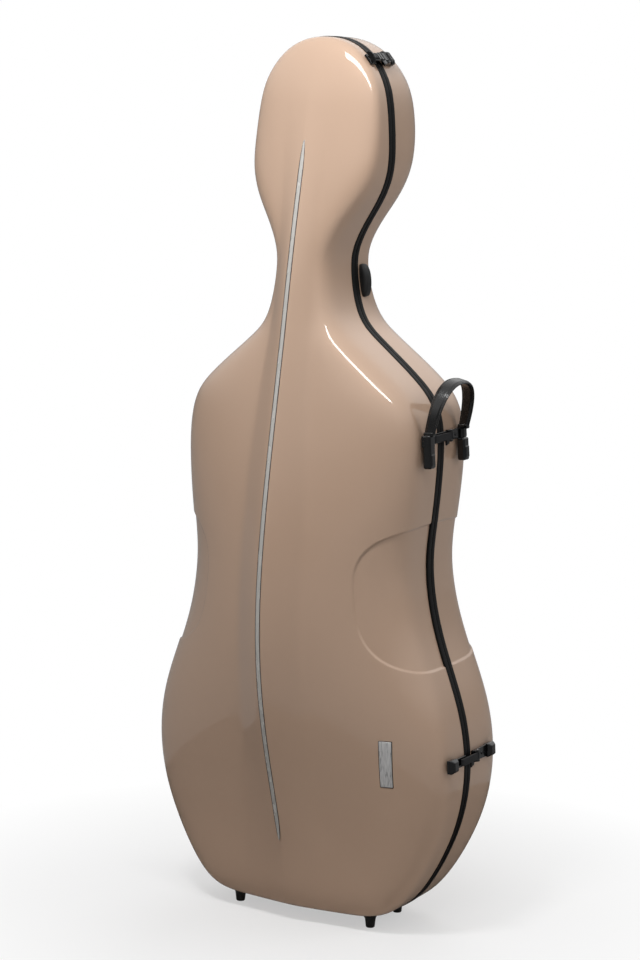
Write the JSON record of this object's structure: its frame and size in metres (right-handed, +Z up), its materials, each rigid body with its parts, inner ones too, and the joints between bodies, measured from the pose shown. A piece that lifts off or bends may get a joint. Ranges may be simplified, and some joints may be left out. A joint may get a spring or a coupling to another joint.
{
  "type": "cello hard case",
  "caption": "Upright hard case for a cello: two glossy shells hinged on one side, black rim, latches, carry handle, ridge with silver inlay and padded inside.",
  "frame": {"origin": "on the floor, on the centre plane of the case and in the plane of its seam, at the middle of the four feet", "axes": "+Z up along the case, -Y out of the lid, +X to the side with the latches and the handle"},
  "size_m": [0.5389, 0.3517, 1.3409],
  "materials": {
    "shell": "high-gloss beige clear coat over moulded glass-fibre laminate",
    "rim": "satin black extruded rim",
    "seal": "matt black sponge rubber",
    "inlay": "satin silver",
    "badge": "brushed, bare",
    "badge_frame": "dark satin",
    "latch_black": "gloss black enamel",
    "steel": "ground",
    "screw_black": "black oxide",
    "handle_leather": "smooth black leather, stitched edges",
    "grip_black": "satin black",
    "foot_rubber": "moulded black rubber",
    "lining": "short-pile velour on foam",
    "cushion": "velour over foam",
    "webbing": "woven webbing",
    "pocket_fabric": "woven fabric",
    "clip_plastic": "moulded plastic"
  },
  "bodies": {
    "tub": {"rear_shell": "shell", "rear_rim": "rim", "seal_strip": "seal", "lower_hinge_tub_leaf": "latch_black", "lower_hinge_pin": "steel", "upper_hinge_tub_leaf": "latch_black", "upper_hinge_pin": "steel", "head_latch_base": "latch_black", "head_latch_pin": "steel", "lower_latch_base": "latch_black", "lower_latch_pin": "steel", "handle_bar": "latch_black", "shoulder_latch_pin": "steel", "handle_lugs": "latch_black", "handle_strap": "handle_leather", "neck_grip": "grip_black", "rear_feet": "foot_rubber", "strap_lugs": "latch_black", "rear_lining": "lining", "end_block": "cushion", "lower_side_cushions": "cushion", "upper_side_cushions": "cushion", "neck_cradle": "cushion", "neck_strap": "webbing", "tub_screws": "screw_black"},
    "lid": {"front_shell": "shell", "front_rim": "rim", "ridge_inlay": "inlay", "badge_plate": "badge", "badge_surround": "badge_frame", "lower_hinge_lid_leaf": "latch_black", "upper_hinge_lid_leaf": "latch_black", "head_latch_keeper": "latch_black", "lower_latch_keeper": "latch_black", "shoulder_latch_keeper": "latch_black", "front_feet": "foot_rubber", "front_lining": "lining", "bow_pockets": "pocket_fabric", "bow_clips": "clip_plastic", "turner_screws": "steel", "lid_screws": "screw_black"},
    "head_lever": {"head_latch_lever": "latch_black"},
    "shoulder_lever": {"shoulder_latch_lever": "latch_black"},
    "lower_lever": {"lower_latch_lever": "latch_black"},
    "turner_right": {"bow_turner_right": "clip_plastic"},
    "turner_left": {"bow_turner_left": "clip_plastic"}
  },
  "joints": [
    {"name": "lid_hinge", "type": "hinge", "parent": "tub", "child": "lid", "pos_m": [-0.26233, 0, 0.28099], "axis": [-0.119, 0, -0.9929], "range_deg": [0, 120]},
    {"name": "head_latch_turn", "type": "hinge", "parent": "tub", "child": "head_lever", "pos_m": [0.08002, 0.02, 1.31029], "axis": [-0.6405, 0, 0.7679], "range_deg": [0, 110]},
    {"name": "shoulder_latch_turn", "type": "hinge", "parent": "tub", "child": "shoulder_lever", "pos_m": [0.20359, 0.02, 0.75847], "axis": [-0.0696, 0, 0.9976], "range_deg": [0, 110]},
    {"name": "lower_latch_turn", "type": "hinge", "parent": "tub", "child": "lower_lever", "pos_m": [0.26097, 0.02, 0.27739], "axis": [-0.0589, 0, 0.9983], "range_deg": [0, 110]},
    {"name": "bow_turner_right_turn", "type": "hinge", "parent": "lid", "child": "turner_right", "pos_m": [0.05996, -0.08871, 0.84473], "axis": [-0.1443, 0.9707, -0.1924], "range_deg": [0, 90]},
    {"name": "bow_turner_left_turn", "type": "hinge", "parent": "lid", "child": "turner_left", "pos_m": [-0.05996, -0.08871, 0.84473], "axis": [0.1443, 0.9707, -0.1924], "range_deg": [-90, 0]}
  ]
}
